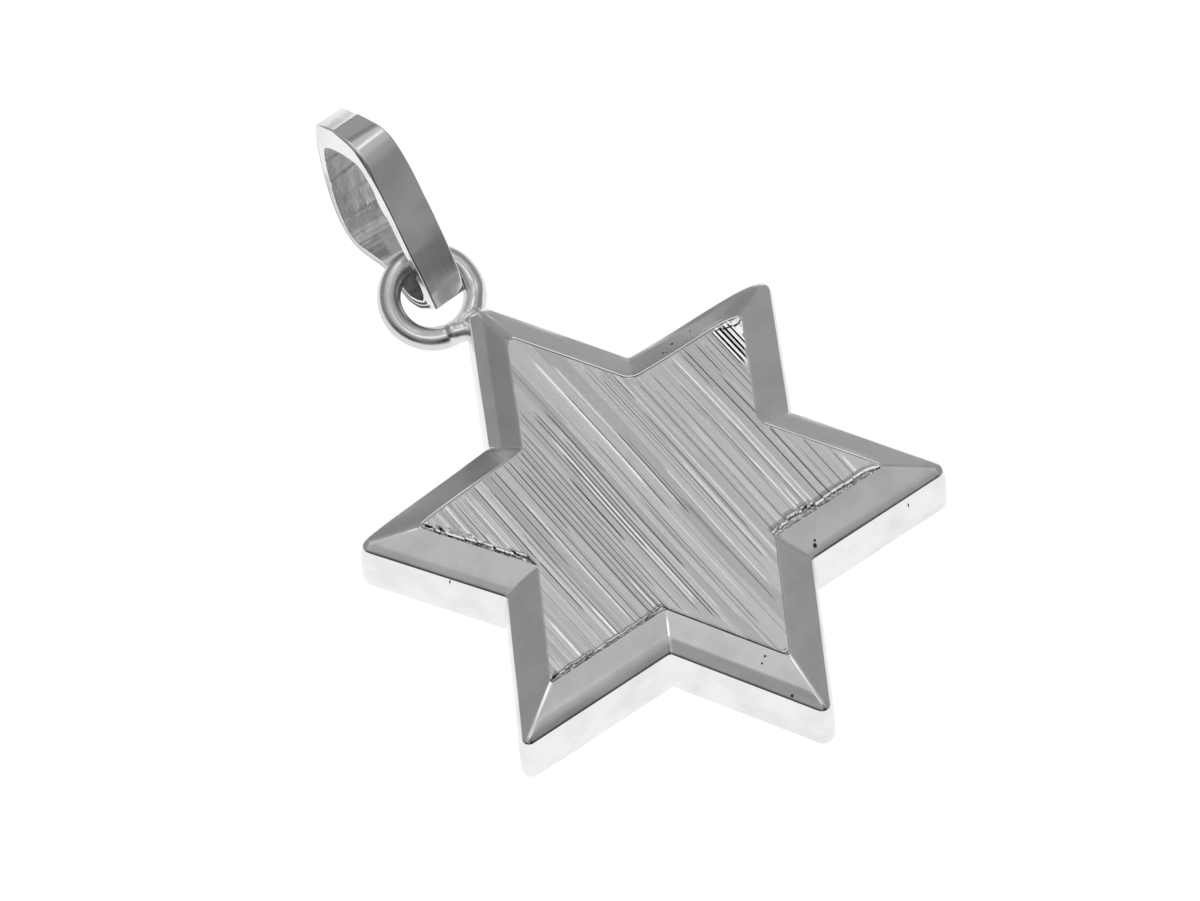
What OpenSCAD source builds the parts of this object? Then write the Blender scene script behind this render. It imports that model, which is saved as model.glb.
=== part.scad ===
// Star pendant: a solid six-pointed star with a bevelled rim and an engraved centre, a jump ring
// soldered to its upper point, and a closed bail linked through the ring.
// The star lies on its flat back, centred on the origin, with the ring and the bail towards +Y.

/* [Star] */
// Reach of the even points of the star, from its centre to the sharp tip
star_reach = 10.5; // [10.3:0.1:10.7]
// Distance from the centre to the inner corners between the points
corner_reach = 6.02; // [5.9:0.02:6.1]
// Height of the bevel's outer edge above the flat back
wall_h = 2.3; // [2:0.1:2.6]
// How far the side wall swells beyond the bevel's outer edge
wall_swell = 0.12; // [0.05:0.01:0.2]
// Radius of the rounded edge round the back
back_round = 0.5; // [0.3:0.05:0.7]
// Radius of the inner corners, seen from above
corner_round = 0.2; // [0.1:0.05:0.3]

/* [Bevel] */
// Width of the whole bevel, seen from above
bevel_w = 1.15; // [1:0.05:1.3]
// Rise of the whole bevel, from its outer edge to the engraved centre
bevel_rise = 0.68; // [0.5:0.02:0.8]
// Width of the steeper outer facet, seen from above
facet_w = 0.34; // [0.25:0.01:0.45]
// Rise of the steeper outer facet
facet_rise = 0.26; // [0.2:0.01:0.32]

/* [Engraved centre] */
// Depth of the recess that holds the engraved plate
recess_depth = 0.55; // [0.4:0.05:0.8]
// Width of the polished lip between the bevel and the recess
lip_w = 0.03; // [0.02:0.01:0.05]
// Gap between the plate and the recess all round
plate_gap = 0.05; // [0.03:0.01:0.08]
// How far the plate's face lies below the bevel's inner edge
plate_drop = 0.04; // [0.02:0.01:0.06]
// Distance between engraved lines, on average
line_pitch = 0.34; // [0.3:0.02:0.5]
// Width of an engraved line at the plate's face
line_w = 0.11; // [0.06:0.01:0.14]
// Turn of the engraved lines away from the star's long axis, in degrees
line_turn = 2.5; // [0:0.5:5]

/* [Jump ring] */
// Radius of the ring, to the middle of its wire
ring_r = 1.5; // [1.46:0.01:1.54]
// Radius of the ring's wire
wire_r = 0.39; // [0.36:0.01:0.4]
// Tilt of the ring's plane away from the star's plane, in degrees
ring_tilt = 21.5; // [20:0.5:23]
// Direction that the ring's axis leans towards, in degrees from +X
ring_lean = 242.6; // [240:0.2:245]
// Radius of the solder joint between ring and star
solder_r = 0.46; // [0.42:0.02:0.5]

/* [Bail] */
// Lean of the bail away from upright, in degrees
bail_lean = 35; // [34.5:0.1:35.5]
// Sideways roll of the bail, in degrees
bail_roll = 3.3; // [3:0.1:3.6]
// Turn of the bail about the vertical, in degrees
bail_turn = 4.6; // [4.3:0.1:4.9]
// Width of the small chamfer along the bail's outer edges
bail_chamfer = 0.11; // [0.06:0.01:0.14]

/* [Hidden] */

// Points of the star, anticlockwise from the ring's own point. Columns: change of reach against
// star_reach, turn away from the even sixth in degrees (+ is anticlockwise), radius of the tip.
star_points = [
    [ 0.14,  0.0, 0.45],
    [-0.36,  1.8, 0.24],
    [ 0.00, -0.5, 0.24],
    [ 0.00, -1.2, 0.28],
    [ 0.00, -0.5, 0.42],
    [-0.37, -1.0, 0.28],
];
// Steps in the arc of a tip and of an inner corner, and the smallest radius of either.
tip_steps = 5;
corner_steps = 2;
least_round = 0.12;

// Section of the star's edge, from the back up. Columns: distance out from the bevel's outer
// edge, height above the back. The first rows are a quarter circle, worked out below.
round_steps = 5;
bevel_top = wall_h + bevel_rise;
edge_section = concat(
    [for (i = [0:round_steps])
        let (a = 90*i/round_steps)
        [wall_swell - back_round*(1 - sin(a)), back_round*(1 - cos(a))]],
    [
        [wall_swell, wall_h*0.72],
        [wall_swell*0.6, wall_h*0.88],
        [0, wall_h],
        [-facet_w, wall_h + facet_rise],
        [-bevel_w, bevel_top],
    ]
);

// The recess and the plate in it, inwards from the bevel's outer edge and upwards from the back.
recess_inset = bevel_w + lip_w;
recess_floor = bevel_top - recess_depth;
plate_inset = recess_inset + plate_gap;
plate_floor = recess_floor + plate_gap;
plate_face = bevel_top - plate_drop;

// The engraved lines cover the plate by this half width and half length. Each line strays from
// its even place by up to this share of the pitch, and the stray turns by this angle a line.
lines_half_w = 6.9;
lines_half_l = 9.5;
line_stray = 0.3;
stray_turn = 137;

// How far a cut runs on past the face that it opens.
cut_past = 1;

// Centre of the jump ring, and the solder that joins it to the star's blunt point.
ring_centre = [-0.55, 12.02, 1.5];
solder_low = [-0.34, 10.32, 1.0];
solder_high = [0.2, 10.24, 1.12];
solder_high_r = 0.4;

// Foot of the bail, at the front of its lower end and on its left rim.
bail_foot = [-0.87, 11.54, 1.86];
bail_steps = 3;

// Loop of the bail, clockwise from the lower end, seen from its left side. Columns: distance up
// the bail and depth behind its front, of the outer face and then of the inner face, and the
// width of the band.
bail_loop = [
    [-0.40, 1.10,   0.05, 0.98,  1.30],
    [-0.30, 0.45,   0.08, 0.55,  1.30],
    [ 0.05,-0.02,   0.34, 0.31,  1.34],
    [ 0.87,-0.15,   0.90, 0.26,  1.42],
    [ 2.10,-0.13,   2.10, 0.28,  1.50],
    [ 3.35,-0.08,   3.30, 0.32,  1.54],
    [ 4.77, 0.00,   4.60, 0.41,  1.54],
    [ 5.90, 0.16,   5.45, 0.56,  1.46],
    [ 6.50, 0.52,   5.80, 0.93,  1.36],
    [ 6.92, 1.42,   6.02, 1.52,  1.20],
    [ 6.88, 2.52,   6.13, 2.28,  1.20],
    [ 6.38, 3.06,   6.02, 2.70,  1.26],
    [ 5.65, 3.44,   5.50, 3.05,  1.34],
    [ 4.80, 3.80,   4.66, 3.42,  1.44],
    [ 3.65, 4.17,   3.60, 3.80,  1.52],
    [ 2.70, 4.28,   2.74, 3.91,  1.52],
    [ 2.00, 4.10,   2.20, 3.77,  1.48],
    [ 1.58, 3.70,   1.88, 3.46,  1.44],
    [ 1.30, 3.06,   1.64, 2.90,  1.40],
    [ 1.00, 2.43,   1.32, 2.22,  1.36],
    [ 0.30, 2.05,   0.56, 1.74,  1.32],
    [-0.20, 1.70,   0.14, 1.38,  1.30],
];

// One point of a flat figure from its reach and its angle.
function spot(reach, angle) = [reach*cos(angle), reach*sin(angle)];

// The twelve sharp corners of the star, anticlockwise: a tip, then the inner corner after it.
sharp = [for (i = [0:5]) each [
    spot(star_reach + star_points[i][0], 90 + 60*i + star_points[i][1]),
    spot(corner_reach, 120 + 60*i)
]];

// Radius of each of those corners.
sharp_round = [for (i = [0:5]) each [star_points[i][2], corner_round]];

// Unit vector at a right angle to v, on its right-hand side, which is outwards on the outline.
function outward(v) = [v[1], -v[0]]/norm(v);

// Corner b between a and c, moved out by d from both of the edges that meet there.
function moved(a, b, c, d) =
    let (
        n1 = outward(b - a),
        n2 = outward(c - b)
    )
    b + d*(n1 + n2)/(1 + n1*n2);

// Arc of the given radius in corner b between a and c, as steps + 1 points.
function rounded(a, b, c, radius, steps) =
    let (
        u = (a - b)/norm(a - b),
        v = (c - b)/norm(c - b),
        half = acos(u*v)/2,
        middle = b + (u + v)/norm(u + v)*radius/sin(half),
        start = b + u*radius/tan(half) - middle,
        turn = (180 - 2*half)*(outward(u)*v < 0 ? -1 : 1)
    )
    [for (i = [0:steps])
        let (t = turn*i/steps)
        middle + [start[0]*cos(t) - start[1]*sin(t), start[0]*sin(t) + start[1]*cos(t)]];

// Outline of the star moved out by d, with its tips and inner corners rounded. A tip's arc
// grows as the outline moves out, and an inner corner keeps its arc.
function star_outline(d) =
    let (p = [for (i = [0:11]) moved(sharp[(i + 11)%12], sharp[i], sharp[(i + 1)%12], d)])
    [for (i = [0:11]) each rounded(
        p[(i + 11)%12], p[i], p[(i + 1)%12],
        max(least_round, sharp_round[i] + (i%2 == 0 ? d : 0)),
        i%2 == 0 ? tip_steps : corner_steps
    )];

// Solid through a stack of level rings of equal length about the Z axis, closed by a fan of
// triangles at each end.
module stacked(rings) {
    n = len(rings[0]);
    last = len(rings) - 1;
    low = (last + 1)*n;
    polyhedron(
        points = concat(
            [for (ring = rings) each ring],
            [[0, 0, rings[0][0][2]], [0, 0, rings[last][0][2]]]
        ),
        faces = [for (i = [0:n - 1])
            let (j = (i + 1)%n)
            each concat(
                [[low, i, j]],
                [for (k = [0:last - 1])
                    let (a = k*n + i, b = k*n + j)
                    each [[a, b + n, b], [a, a + n, b + n]]],
                [[low + 1, last*n + j, last*n + i]]
            )],
        convexity = 6
    );
}

// Smooth curve through rows a, b, c and d of a table, at t of the way from b to c.
function eased(a, b, c, d, t) =
    (2*b + (c - a)*t + (2*a - 5*b + 4*c - d)*t*t + (3*b - a - 3*c + d)*t*t*t)/2;

// Section of the bail's band: a flat outer face between two chamfers, and a flat inner face.
function band_section(row) =
    let (
        outer = [row[1], row[0]],
        inner = [row[3], row[2]],
        edge = outer + (inner - outer)*bail_chamfer/norm(inner - outer),
        w = row[4]
    )
    [
        [bail_chamfer, outer[0], outer[1]],
        [0, edge[0], edge[1]],
        [0, inner[0], inner[1]],
        [w, inner[0], inner[1]],
        [w, edge[0], edge[1]],
        [w - bail_chamfer, outer[0], outer[1]],
    ];

module star_outline_2d(d) {
    polygon(star_outline(d));
}

module star_body() {
    stacked([for (row = edge_section)
        [for (p = star_outline(row[0])) [p[0], p[1], row[1]]]]);
}

module jump_ring() {
    translate(ring_centre)
        rotate([0, ring_tilt, ring_lean])
            rotate_extrude($fn = 64)
                translate([ring_r, 0])
                    circle(wire_r, $fn = 24);
}

module solder_joint() {
    translate(solder_low)
        sphere(solder_r, $fn = 24);
    translate(solder_high)
        sphere(solder_high_r, $fn = 24);
}

module star_frame() {
    color("silver") {
        difference() {
            star_body();
            translate([0, 0, recess_floor])
                linear_extrude(recess_depth + cut_past)
                    star_outline_2d(-recess_inset);
        }
        jump_ring();
        solder_joint();
    }
}

module engraved_lines() {
    count = floor(2*lines_half_w/line_pitch);
    rotate(line_turn)
        for (i = [0:count])
            translate([
                -lines_half_w + (i + line_stray*sin(stray_turn*i))*line_pitch,
                -lines_half_l,
                plate_face
            ])
                rotate([-90, 0, 0])
                    linear_extrude(2*lines_half_l)
                        polygon([[-line_w/2, 0], [0, line_w/2], [line_w/2, 0], [0, -line_w/2]]);
}

module engraved_centre() {
    color("gainsboro")
        difference() {
            translate([0, 0, plate_floor])
                linear_extrude(plate_face - plate_floor)
                    star_outline_2d(-plate_inset);
            engraved_lines();
        }
}

module bail() {
    rows = len(bail_loop);
    loop = [for (i = [0:rows - 1], k = [0:bail_steps - 1])
        eased(
            bail_loop[(i + rows - 1)%rows], bail_loop[i],
            bail_loop[(i + 1)%rows], bail_loop[(i + 2)%rows], k/bail_steps
        )];
    rings = [for (row = loop) band_section(row)];
    n = len(rings[0]);
    m = len(rings);
    color("silver")
        translate(bail_foot)
            rotate([-bail_lean, bail_roll, bail_turn])
                polyhedron(
                    points = [for (ring = rings) each ring],
                    faces = [for (k = [0:m - 1], i = [0:n - 1])
                        let (j = (i + 1)%n, q = (k + 1)%m)
                        each [[k*n + i, k*n + j, q*n + j], [k*n + i, q*n + j, q*n + i]]],
                    convexity = 6
                );
}

star_frame();
engraved_centre();
bail();
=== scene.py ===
"""A cast silver star pendant with an engraved plate let into its face, a jump ring soldered to
its upper point and a closed bail linked through the ring. It lies on its flat back.

All shapes are worked out in millimetres and put into their meshes in metres. The long axis of
the star is Y, the ring and the bail lie towards +Y, and Z points up out of the engraved face.
"""
import bpy
import math
import numpy as np
from mathutils import Matrix


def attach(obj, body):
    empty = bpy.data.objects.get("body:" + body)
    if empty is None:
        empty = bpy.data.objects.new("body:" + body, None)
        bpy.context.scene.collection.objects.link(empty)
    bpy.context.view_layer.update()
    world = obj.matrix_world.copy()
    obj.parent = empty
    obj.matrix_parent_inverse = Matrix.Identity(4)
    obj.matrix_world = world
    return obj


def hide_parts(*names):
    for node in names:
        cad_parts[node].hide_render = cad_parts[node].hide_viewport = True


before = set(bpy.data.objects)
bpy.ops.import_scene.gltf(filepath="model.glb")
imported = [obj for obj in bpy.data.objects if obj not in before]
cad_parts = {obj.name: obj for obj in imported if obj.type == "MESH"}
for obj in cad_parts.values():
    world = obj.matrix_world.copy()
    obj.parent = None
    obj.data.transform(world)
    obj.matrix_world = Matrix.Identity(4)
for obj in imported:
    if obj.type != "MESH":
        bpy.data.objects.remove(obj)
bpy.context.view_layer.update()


# Cast star
# The real piece is one solid silver casting with a flat back and upright walls. Its rim was filed
# to a broad bevel with a narrow steeper facet along the outside, and then polished by hand.
MM = 0.001

# The outline: how far an even point and an inner corner reach, and the least radii of an inner
# corner and of a blunt tip.
star_reach = 10.5
corner_reach = 6.02
corner_round = 0.16
least_round = 0.09

# The section: swell of the wall and where it stops below the bevel, rounding of the back's edge,
# width and top of the bevel, depth and width of its softened outer edge, and width and start of
# the bead along its inner edge.
wall_swell = 0.12
wall_gap = 0.05
back_round = 0.5
bevel_w = 1.15
bevel_top = 2.98
edge_soft = 0.022
edge_soft_w = 0.06
bead_w = 0.045
bead_reach = 0.055

# Waves of hand polishing and the width over which they die out, the recess and its lip, and how
# dark the grime and painted shade are beside the lip and on the ledge, and how dark the painted
# shade is in one inner corner.
polish_depth = 0.006
polish_fade = 0.25
recess_depth = 0.55
lip_w = 0.014
seam_grime_and_shade = 0.85
ledge_grime_and_shade = 0.8
corner_shade = 0.35

# Points anticlockwise from the ring's point. Columns: change of reach against star_reach, turn
# away from the even sixth in degrees, radius of the blunt tip, least radius at the rim's inner
# edge, and how much the inner corner after the tip widens for each millimetre in.
star_points = np.array([
    [0.14, 0, 0.45, 0.24, 0.1],
    [-0.36, 1.8, 0.3, 0.12, 0.05],
    [0, -0.5, 0.26, 0.1, 0.02],
    [0, -1.2, 0.3, 0.12, 0.12],
    [-0.13, -0.5, 0.3, 0.12, 0.2],
    [-0.37, -1, 0.34, 0.14, 0.42],
])

# The rim's edges anticlockwise, two for each point: tip to corner, then corner to the next tip.
# Columns: height of the bevel's outer edge, width and rise of the outer facet, how soft the
# crease between the facets is, how far the edge bows out near its tip, how much the inner facet
# is crowned, height of the bead rubbed up along the plate, and how much painted shade darkens the
# inner facet.
rim_edges = np.array([
    [2.28, 0.44, 0.36, 0.015, 0, 0.004, 0.02, 0.27],
    [2.38, 0.3, 0.165, 0.03, 0.04, 0, 0.012, 0],
    [2.28, 0.18, 0.15, 0.04, 0, 0.014, 0, 0.11],
    [2.3, 0.42, 0.3, 0.05, 0, 0.012, 0, 0],
    [2.3, 0.34, 0.28, 0.06, 0, 0.014, 0, 0],
    [2.28, 0.42, 0.34, 0.015, 0, 0.012, 0, 0],
    [2.3, 0.34, 0.24, 0.02, 0, 0.008, 0.012, 0],
    [2.3, 0.22, 0.18, 0.03, 0, 0.008, 0, 0.12],
    [2.38, 0.3, 0.165, 0.03, 0, 0, 0.003, 0],
    [2.34, 0.3, 0.2, 0.03, 0, 0.006, 0.003, 0],
    [2.38, 0.3, 0.165, 0.03, 0.1, 0, 0.018, 0.13],
    [2.38, 0.3, 0.165, 0.03, 0, 0, 0.02, 0],
])

# The edges whose seam was left ragged, on the lower sides of three points, and one more with a
# dark line, counted as above. Then the points along an edge and round a corner, the share of an
# edge's count that its corners take, and how much closer the points lie near them.
ragged_seams = [2, 4, 7]
dark_seam = 5
edge_steps = 64
corner_steps = 9
corner_share = 0.08
edge_crowding = 0.08


def star_corners():
    """The twelve sharp corners, anticlockwise: each tip lies at its own reach on an even sixth of
    the circle, turned a little, and each inner corner half a sixth after it."""
    sixth = np.radians(90 + 60 * np.arange(6))
    tip_at = sixth + np.radians(star_points[:, 1])
    reach = star_reach + star_points[:, 0]
    tips = np.stack([np.cos(tip_at), np.sin(tip_at)], 1) * reach[:, None]
    inner_at = sixth + math.radians(30)
    inner = np.stack([np.cos(inner_at), np.sin(inner_at)], 1) * corner_reach
    return np.stack([tips, inner], 1).reshape(12, 2)


def unit(v):
    """Each vector divided by its length."""
    return v / np.linalg.norm(v, axis=-1, keepdims=True)


def moved_corners(corners, out):
    """Corners of the outline moved out by each distance in out: a corner slides along the sum of
    the outward normals of its two edges, divided by one plus their dot product."""
    along = unit(np.roll(corners, -1, 0) - corners)
    normal = np.stack([along[:, 1], -along[:, 0]], 1)
    before = np.roll(normal, 1, 0)
    slide = (normal + before) / (1 + (normal * before).sum(1, keepdims=True))
    return corners[None] + out[:, None, None] * slide[None]


def star_rings(out):
    """Outlines of the star moved out by each distance in out, as an array of rings, points and
    coordinates. Each corner is an arc tangent to both edges; a straight run joins the arcs, and
    swells outwards near its tip by a squared sine. Also gives each point's place along the
    outline, counted in edges."""
    p = moved_corners(star_corners(), out)
    u = unit(np.roll(p, 1, 1) - p)
    v = unit(np.roll(p, -1, 1) - p)
    half = np.arccos(np.clip((u * v).sum(-1), -1, 1)) / 2
    inset = np.clip(-out, 0, None)[:, None]
    least = least_round + (star_points[None, :, 3] - least_round) * np.clip(inset / bevel_w, 0, 1)
    tip = np.maximum(least, star_points[None, :, 2] + out[:, None])
    inner = corner_round + star_points[None, :, 4] * inset
    radius = np.stack([tip, inner], 2).reshape(len(out), 12)
    middle = p + unit(u + v) * (radius / np.sin(half))[..., None]
    start = p + u * (radius / np.tan(half))[..., None] - middle
    end = p + v * (radius / np.tan(half))[..., None] - middle
    turn = (math.pi - 2 * half) * np.where(np.arange(12) % 2 == 0, 1, -1)
    t = np.linspace(0, 1, corner_steps)
    angle = turn[..., None] * t
    arc = np.stack([
        start[..., 0:1] * np.cos(angle) - start[..., 1:2] * np.sin(angle),
        start[..., 0:1] * np.sin(angle) + start[..., 1:2] * np.cos(angle),
    ], -1) + middle[:, :, None]
    e = np.linspace(0, 1, edge_steps + 1)[1:-1]
    e = e - edge_crowding * np.sin(2 * math.pi * e) / math.pi
    a = (end + middle)[:, :, None]
    b = np.roll(start + middle, -1, 1)[:, :, None]
    run = a + (b - a) * e[None, None, :, None]
    from_tip = np.where((np.arange(12) % 2 == 0)[:, None], e[None], 1 - e[None])
    swell = rim_edges[:, 4:5] * np.sin(math.pi * from_tip ** 0.45) ** 2
    outward = np.stack([v[..., 1], -v[..., 0]], -1)
    run = run + outward[:, :, None] * swell[None, :, :, None]
    ring = np.concatenate([arc, run], 2).reshape(len(out), -1, 2)
    place = np.concatenate([corner_share * (t - 0.5), corner_share / 2 + (1 - corner_share) * e])
    return ring, (np.arange(12)[:, None] + place[None]).ravel()


def edge_value(column, place, ease=0.07):
    """A column of rim_edges, given by its number, along the outline. A value holds along its edge
    and eases to the next edge's over a short stretch at the corner between them."""
    edge = np.floor(place).astype(int)
    within = place - edge
    before, here, after = [rim_edges[(edge + step) % 12, column] for step in (-1, 0, 1)]
    start = np.clip(0.5 + within / (2 * ease), 0, 1)
    stop = np.clip(0.5 + (1 - within) / (2 * ease), 0, 1)
    start = start * start * (3 - 2 * start)
    stop = stop * stop * (3 - 2 * stop)
    return before * (1 - start) + after * (1 - stop) + here * (start + stop - 1)


def polish_wave(x, y):
    """Slow unevenness left by hand polishing: a sum of long sine waves across the surface."""
    return polish_depth * (
        np.sin(1.1 * x + 0.7 * y + 0.4)
        + 0.6 * np.sin(-0.8 * x + 1.7 * y + 2.0)
        + 0.4 * np.sin(2.3 * x + 1.9 * y + 1.1)
    )


def put_mesh(name, points_mm, faces, smooth=True):
    """A new object at the origin with these points, given in millimetres, and these faces."""
    mesh = bpy.data.meshes.new(name)
    mesh.from_pydata((np.asarray(points_mm) * MM).tolist(), [], [list(map(int, f)) for f in faces])
    mesh.polygons.foreach_set("use_smooth", np.full(len(mesh.polygons), smooth))
    mesh.update()
    piece = bpy.data.objects.new(name, mesh)
    bpy.context.scene.collection.objects.link(piece)
    return piece


def tube_faces(rings, around):
    """Quads that join each ring of points to the next, with each ring closed on itself."""
    k, i = np.meshgrid(np.arange(rings - 1), np.arange(around), indexing="ij")
    j = (i + 1) % around
    return np.stack([k * around + i, k * around + j, (k + 1) * around + j, (k + 1) * around + i],
                    -1).reshape(-1, 4)


def fan_faces(centre, first, around, up):
    """Triangles from a centre point to a closed ring, facing up or down."""
    i = np.arange(around)
    j = (i + 1) % around
    c = np.full(around, centre)
    order = [c, first + i, first + j] if up else [c, first + j, first + i]
    return np.stack(order, -1)


def put_attribute(piece, name, values):
    """One number for each point of a piece's mesh, for its material to read."""
    layer = piece.data.attributes.new(name, "FLOAT", "POINT")
    layer.data.foreach_set("value", np.asarray(values, dtype=np.float32))


def between(x, start, stop, ease):
    """One from start to stop, falling evenly to zero at both of them over the width of ease."""
    return np.clip(np.minimum(x - start, stop - x) / ease, 0, 1)


def ragged_edges(place):
    """One where the seam round the plate was left ragged, falling to zero at an edge's ends."""
    within = place - np.floor(place)
    ragged = np.isin(np.floor(place) % 12, ragged_seams)
    return ragged * between(within, 0, 1, 0.05)


def chipping(place, seed):
    """Jagged values between -1 and 1 along the outline: random steps about a tenth of a
    millimetre long, joined by straight lines."""
    rng = np.random.default_rng(seed)
    return np.interp(place, np.linspace(-0.1, 12.1, 1100), rng.uniform(-1, 1, 1100))


def bevel_rise(depth, place):
    """Height of the bevel at a distance in from its outer edge: the lower of two slopes, one for
    the outer facet and one for the inner, blended by a soft minimum of the given softness. The
    inner facet swells by a half sine, and a bead rises along its inner edge."""
    edge_h = edge_value(0, place)
    facet_w = edge_value(1, place)
    facet_rise = edge_value(2, place)
    soft = edge_value(3, place)
    outer = edge_h + facet_rise / facet_w * depth
    slope = (bevel_top - edge_h - facet_rise) / (bevel_w - facet_w)
    inner = bevel_top - slope * (bevel_w - depth)
    gap = np.clip(0.5 + (inner - outer) / (2 * soft), 0, 1)
    rise = inner * (1 - gap) + outer * gap - soft * gap * (1 - gap)
    across = np.clip((depth - facet_w) / (bevel_w - facet_w), 0, 1)
    rise = rise + edge_value(5, place) * np.sin(math.pi * across)
    bead = np.clip((depth - bevel_w + bead_reach) / bead_w, 0, 1)
    return rise + edge_value(6, place) * bead


def make_star():
    """Rings of the outline stacked from the middle of the back, round its edge, up the wall, over
    the bevel and the lip, and down into the recess, with a fan at each end. The bevel's outer edge
    is eased by a square, and the waves of hand polishing run over it and die out at its edges."""
    q = np.radians(np.linspace(0, 90, 8))
    back = np.stack([wall_swell - back_round * (1 - np.sin(q)), back_round * (1 - np.cos(q))], 1)
    rise = np.linspace(0, 1, 9)[1:]
    wall_out = wall_swell * (1 - np.clip((rise - 0.55) / 0.45, 0, 1) ** 1.6)
    fillet = np.array([0.0, 0.012, 0.03, 0.06])
    across = np.linspace(0.09, bevel_w - 0.09, 24)
    close_rows = bevel_w - np.array([0.07, 0.055, 0.045, 0.03, 0.02, 0.01, 0.0])
    # Rows of the lip and of the ledge that carries the plate's edge. Columns: distance in from
    # the bevel's inner edge, further distance where the seam is ragged, drop, and how uneven the
    # ledge is there.
    lip = np.array([
        [0.010, 0.00, 0.004, 0.000],
        [lip_w, 0.02, 0.016, 0.008],
        [lip_w + 0.02, 0.02, 0.028, 0.020],
        [lip_w + 0.03, 0.07, 0.030, 0.024],
        [lip_w + 0.04, 0.14, 0.034, 0.024],
        [lip_w + 0.06, 0.20, 0.040, 0.020],
        [lip_w + 0.08, 0.28, 0.045, 0.016],
        [lip_w + 0.09, 0.28, 0.100, 0.000],
        [lip_w + 0.09, 0.28, recess_depth, 0.000],
    ])
    bevel_in = np.concatenate([fillet, across, close_rows])
    out = np.concatenate([back[:, 0], wall_out, -bevel_in, -bevel_w - lip[:, 0]])
    ring, place = star_rings(out)
    ragged = ragged_edges(place)
    step = star_rings(-bevel_w - np.array([0.0, 0.3]))[0]
    inward = (step[1] - step[0]) / 0.3
    n = ring.shape[1]
    edge_h = edge_value(0, place)
    z = np.empty((len(out), n))
    z[:len(back)] = back[:, 1:2]
    w0 = len(back)
    z[w0:w0 + len(rise)] = back_round + (edge_h - wall_gap - back_round)[None] * rise[:, None]
    b0 = w0 + len(rise)
    depth = bevel_in[:, None]
    z[b0:b0 + len(bevel_in)] = bevel_rise(depth, place[None])
    z[b0:b0 + len(bevel_in)] -= edge_soft * np.clip(1 - depth / edge_soft_w, 0, 1) ** 2
    l0 = b0 + len(bevel_in)
    bead = edge_value(6, place)[None] * np.clip(1 - lip[:, 2:3] / 0.05, 0, 1)
    jagged = np.stack([chipping(place, 30 + k) for k in range(len(lip))])
    jagged_in = np.stack([chipping(place, 50 + k) for k in range(len(lip))])
    z[l0:] = bevel_top + bead - lip[:, 2:3] + lip[:, 3:4] * jagged * ragged[None]
    ledge = lip[:, 1:2] * (1 + 0.25 * jagged_in) * ragged[None]
    ring[l0:] += inward[None] * ledge[..., None]
    fade = between(-out, 0, bevel_w, polish_fade)[:, None]
    fade[:b0] = 0
    z += polish_wave(ring[..., 0], ring[..., 1]) * fade
    points = np.concatenate([ring, z[..., None]], 2).reshape(-1, 3)
    low, high = len(points), len(points) + 1
    points = np.concatenate([points, [[0, 0, 0], [0, 0, bevel_top - recess_depth]]])
    faces = (
        tube_faces(len(out), n).tolist()
        + fan_faces(low, 0, n, False).tolist()
        + fan_faces(high, (len(out) - 1) * n, n, True).tolist()
    )
    piece = put_mesh("cast_star", points, faces)

    # Grime and painted shade: a broken dark line beside the lip and patches on the ledge, grime and
    # painted shade in the seam; the whole recess wall, grime and painted shade in the recess;
    # painted shade on the inner facets, darker because of how light falls there; and painted shade
    # in the inner corner after the ring's point.
    # The seam line beside the lip and the ledge patches: grime and painted shade in the gap.
    line = np.isin(np.floor(place) % 12, ragged_seams + [dark_seam])
    line = line * (0.4 + 0.6 * jagged[0]).clip(0, seam_grime_and_shade)
    grime_and_shade = np.zeros((len(out), n))
    grime_and_shade[l0 + 2] = line
    grime_and_shade[l0 + 3] = 0.2 * line
    grime_and_shade[l0 + 4:l0 + 7] = ((jagged_in[4:7] - 0.4) * 3).clip(0, ledge_grime_and_shade) * ragged[None]
    # The recess wall and floor: grime and painted shade in the recess.
    grime_and_shade[-2:] = [[0.3], [1.0]]
    # Painted shade on the inner facets, from the last column of rim_edges.
    facet_w = edge_value(1, place)[None]
    inner_facet = np.clip((depth - facet_w) / 0.06, 0, 1)
    grime_and_shade[b0:l0] = edge_value(7, place)[None] * inner_facet
    # Painted shade in the inner corner after the ring's point.
    corner = np.clip((1.16 - place) / 0.08, 0, 1) * (place > 0.99)
    grime_and_shade[b0:l0] += corner_shade * np.clip(depth / 0.6 - 0.5, 0, 1) * corner[None]
    put_attribute(piece, "Grime and shade", np.append(grime_and_shade.ravel(), [0.0, 1.0]))
    return piece


cast_star = make_star()


# Polished silver
# The casting, the ring and the bail share one hand-polished silver. Light wear dulls it in
# patches, fine hairlines cross it and a few small casting pits were never polished out.

# Colours of grime and painted shade and of the skin left as cast, and how much darker the polish
# is where it wore.
grime_and_shade_black = (0.06, 0.06, 0.06, 1.0)
skin_dark = (0.50, 0.50, 0.50, 1.0)
skin_pale = (0.92, 0.92, 0.91, 1.0)
worn_darker = 0.11

# Noise that is turned about X, Y and Z and drawn out along them, in lumps to the metre: two sets
# of hairlines that cross, and the lumpy skin left by the casting.
hairlines = (
    ((0.3, 0.2, 0.9), (9000.0, 700.0, 2500.0)),
    ((0.1, 0.4, -0.7), (8000.0, 600.0, 2500.0)),
)
skin_lumps = (0.6, 0.3, 0.2), (8000.0, 2600.0, 3400.0)


def new_group(name, inputs, outputs):
    """An empty shader node group with the named input and output sockets."""
    group = bpy.data.node_groups.new(name, "ShaderNodeTree")
    for label, kind, value in inputs:
        socket = group.interface.new_socket(label, in_out="INPUT", socket_type=kind)
        if value is not None:
            socket.default_value = value
    for label, kind in outputs:
        group.interface.new_socket(label, in_out="OUTPUT", socket_type=kind)
    ends = group.nodes.new("NodeGroupInput"), group.nodes.new("NodeGroupOutput")
    return (group,) + ends


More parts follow.
